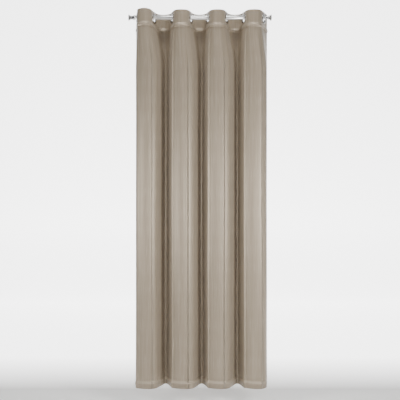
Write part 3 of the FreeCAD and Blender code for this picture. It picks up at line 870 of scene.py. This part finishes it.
pad_low, pad_high, pad_radius = box_x("end_pad_left")
pad = pad_outline(pad_high - pad_low, pad_radius)
finished("left_rubber_pad", spun(pad), end_rubber, "rod", ("end_pad_left",))
finished(
    "right_rubber_pad", spun(mirrored(pad, ROD_LENGTH)), end_rubber, "right_end", ("end_pad_right",),
)

# %% Collars, necks and what is inside
COLLAR = 5 * MM


def collar_arcs(start, end, radius, rounding=1.4 * MM):
    """A collar's rounded outside between two stations."""
    return (arc(start + rounding, radius - rounding, rounding, 180, 90, 5)
            + arc(end - rounding, radius - rounding, rounding, 90, 0, 5))


def left_plug_outline():
    start, end, collar = box_x("tube_plug_left")
    spigot = ROD_RADIUS - 1.25 * MM
    collar_end = tube_low[0]
    depth = cap_left + 28 * MM
    return [
        (start, SCREW_ROOM), (start, neck_radius), *collar_arcs(collar_end - COLLAR, collar_end, collar),
        (collar_end, spigot), (end, spigot), (end, 0.0), (depth, 0.0), (depth, SCREW_ROOM),
    ]


def bush_outline():
    start, end, collar = box_x("guide_bush_right")
    bore, sleeve = neck_radius + 0.06 * MM, ROD_RADIUS - 1.25 * MM
    collar_start = tube_high[0]
    return [(start, bore), (start, sleeve), (collar_start, sleeve), *collar_arcs(collar_start, end, collar),
            (end, bore)]


finished(
    "left_neck_and_collar", spun(left_plug_outline()), collar_chrome, "rod", ("tube_plug_left",),
)
finished(
    "right_collar_bush", spun(bush_outline()), collar_chrome, "rod", ("guide_bush_right",),
)

# %% [markdown]
# ## Inside the tube
# The plunger, its stop ring, the screws and the spring's plug keep the frame's own shapes: they are plain turned parts
# and only need a finish. The spring is a new piece: a helix of wire, made a mesh.

# %% Finish for the plain parts, and the spring
for node, finish in {
    "plunger": collar_chrome, "plunger_stop_ring": zinc_steel, "end_screw_left": zinc_steel,
    "end_screw_right": zinc_steel, "stop_plug_pin": zinc_steel, "spring_stop_plug": inner_plastic,
}.items():
    solid = frame["nodes"][node]
    for material_slot in solid.material_slots:
        material_slot.material = finish
    if not solid.material_slots:
        solid.data.materials.append(finish)


def spring_piece():
    """A helix of wire, swept as a round curve and made a mesh."""
    low, high, outside = box_x("compression_spring")
    wire, turns, per_turn = 1.0 * MM, 14, 24
    curve = bpy.data.curves.new("spring_path", "CURVE")
    curve.dimensions, curve.bevel_depth, curve.bevel_resolution, curve.use_fill_caps = "3D", wire, 3, True
    line = curve.splines.new("POLY")
    count = turns * per_turn
    line.points.add(count)
    for step in range(count + 1):
        angle = math.tau * step / per_turn
        x = low + wire + (high - low - 2 * wire) * step / count
        line.points[step].co = (x, (outside - wire) * math.cos(angle), (outside - wire) * math.sin(angle), 1)
    holder = bpy.data.objects.new("spring_path", curve)
    mesh = bpy.data.meshes.new_from_object(holder)
    shape = bmesh.new()
    shape.from_mesh(mesh)
    bpy.data.objects.remove(holder)
    bpy.data.meshes.remove(mesh)
    bmesh.ops.remove_doubles(shape, verts=shape.verts, dist=1e-6)
    bmesh.ops.recalc_face_normals(shape, faces=shape.faces)
    made = bpy.data.meshes.new("compression_coil")
    shape.to_mesh(made)
    shape.free()
    made.materials.append(zinc_steel)
    made.shade_smooth()
    piece = bpy.data.objects.new("compression_coil", made)
    bpy.context.scene.collection.objects.link(piece)
    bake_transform(piece)
    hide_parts("compression_spring")
    return piece


spring = spring_piece()
print("spring", len(spring.data.polygons), "faces")

# %% [markdown]

# %% [markdown]
# ## Studio
# A pale floor curves up into a pale wall, so there is no line behind the curtain. The wall stands well back, so that
# the curtain can also be looked at from behind, and it glows a little, which keeps it white. A tall light stands at
# the right in front of the curtain's middle, which brightens the right shoulder of every fold and fades to the top and
# the bottom. Weaker ones fill from the left and the front, one above picks out the heading, and the world gives the
# polished rod something to mirror. The lamps themselves are hidden from sight.

# %% Floor and backdrop
def studio_sweep():
    shape = bmesh.new()
    floor_z, front_y, wall_y, wall_top, bend, half = BOTTOM - 0.1, -7.0, 4.9, 4.0, 0.9, 6.0
    outline = [(front_y, floor_z), (wall_y - bend, floor_z)]
    for step in range(1, 13):
        angle = math.pi / 2 * step / 12
        outline.append((wall_y - bend + bend * math.sin(angle), floor_z + bend - bend * math.cos(angle)))
    outline.append((wall_y, wall_top))
    points = [shape.verts.new((-half, y, z)) for y, z in outline]
    edges = [shape.edges.new(pair) for pair in zip(points, points[1:])]
    across = bmesh.ops.extrude_edge_only(shape, edges=edges)
    moved = [item for item in across["geom"] if isinstance(item, bmesh.types.BMVert)]
    bmesh.ops.translate(shape, vec=(2 * half, 0, 0), verts=moved)
    bmesh.ops.recalc_face_normals(shape, faces=shape.faces)
    mesh = bpy.data.meshes.new("studio_sweep")
    shape.to_mesh(mesh)
    shape.free()
    mesh.shade_smooth()
    sweep = bpy.data.objects.new("studio_sweep", mesh)
    sweep.location.x = ROD_LENGTH / 2
    bpy.context.scene.collection.objects.link(sweep)
    made, shader, start = material("studio_paper", Roughness=0.9, Specular_IOR_Level=0.1, Emission_Strength=3.8)
    place = start.node("ShaderNodeTexCoord", output=3)
    across = place.node("ShaderNodeSeparateXYZ", {0: place}, 0).maths("ABSOLUTE").ranged(2.7, 4.0, 1.0, 0.0)
    back = place.node("ShaderNodeSeparateXYZ", {0: place}, 1).ranged(0.3, 1.2) * across
    mesh.materials.append(surface(
        made, shader, Base_Color=place.noise(8.0, 2.0).mixed((0.90, 0.90, 0.90), (0.93, 0.93, 0.93)),
        Emission_Color=back.mixed((0.0, 0.0, 0.0), (1.0, 1.0, 1.0)),
    ))


studio_sweep()

# %% Lights and world
MIDDLE = Vector((ROD_LENGTH / 2, 0.0, (TOP + BOTTOM) / 2))


def area_light(name, place, aim, size, watts, colour=(1, 1, 1)):
    lamp = bpy.data.lights.new(name, "AREA")
    lamp.shape, lamp.size, lamp.size_y, lamp.energy, lamp.color = "RECTANGLE", size[0], size[1], watts, colour
    holder = bpy.data.objects.new(name, lamp)
    holder.location = place
    holder.rotation_euler = (Vector(aim) - Vector(place)).to_track_quat("-Z", "Y").to_euler()
    holder.visible_camera = False
    bpy.context.scene.collection.objects.link(holder)


WARM = (1.0, 0.985, 0.94)
area_light("key", (1.75, -1.40, -1.1), MIDDLE, (0.4, 1.0), 35, WARM)
area_light("left", (-1.30, -1.25, -1.1), MIDDLE, (0.3, 0.9), 21, WARM)
area_light("front", (0.35, -2.9, -1.1), MIDDLE, (0.6, 0.8), 23, WARM)
area_light("top", (0.43, -0.50, 0.95), (0.43, 0.0, 0.0), (1.4, 0.25), 18, WARM)


def world_light():
    world = bpy.data.worlds.new("soft_room")
    bpy.context.scene.world = world
    world.use_nodes = True
    tree = world.node_tree
    start = Sock(tree, None)
    direction = start.node("ShaderNodeTexCoord", output=0)
    height = start.node("ShaderNodeSeparateXYZ", {0: direction}, 2)
    room = start.node(
        "ShaderNodeValToRGB", {0: height.ranged(-1.0, 1.0)},
        stops=[(0.0, (0.95, 0.95, 0.95)), (0.40, (1.0, 1.0, 1.0)), (0.52, (0.62, 0.62, 0.63)),
               (0.62, (1.0, 1.0, 1.0)), (0.86, (0.9, 0.9, 0.9)), (0.95, (0.16, 0.16, 0.17))],
    )
    plug(tree, tree.nodes["Background"].inputs["Color"], room)
    tree.nodes["Background"].inputs["Strength"].default_value = 0.25


world_light()

# %% [markdown]
# ## Camera
# The camera stands about four metres in front, level with the curtain's middle, and looks straight at it.

# %% Camera
CAMERA_DISTANCE, CAMERA_LEVEL, SENSOR, VIEW_WIDTH = 4.2, -1.085, 36.0, 2.4064
camera = bpy.data.cameras.new("camera")
camera.sensor_width, camera.lens = SENSOR, SENSOR * CAMERA_DISTANCE / VIEW_WIDTH
camera.shift_y = -0.005
stand = bpy.data.objects.new("camera", camera)
stand.location = (ROD_LENGTH / 2, -CAMERA_DISTANCE, CAMERA_LEVEL)
stand.rotation_euler = (math.pi / 2, 0, 0)
bpy.context.scene.collection.objects.link(stand)
bpy.context.scene.camera = stand
print("lens", round(camera.lens, 1), "mm")
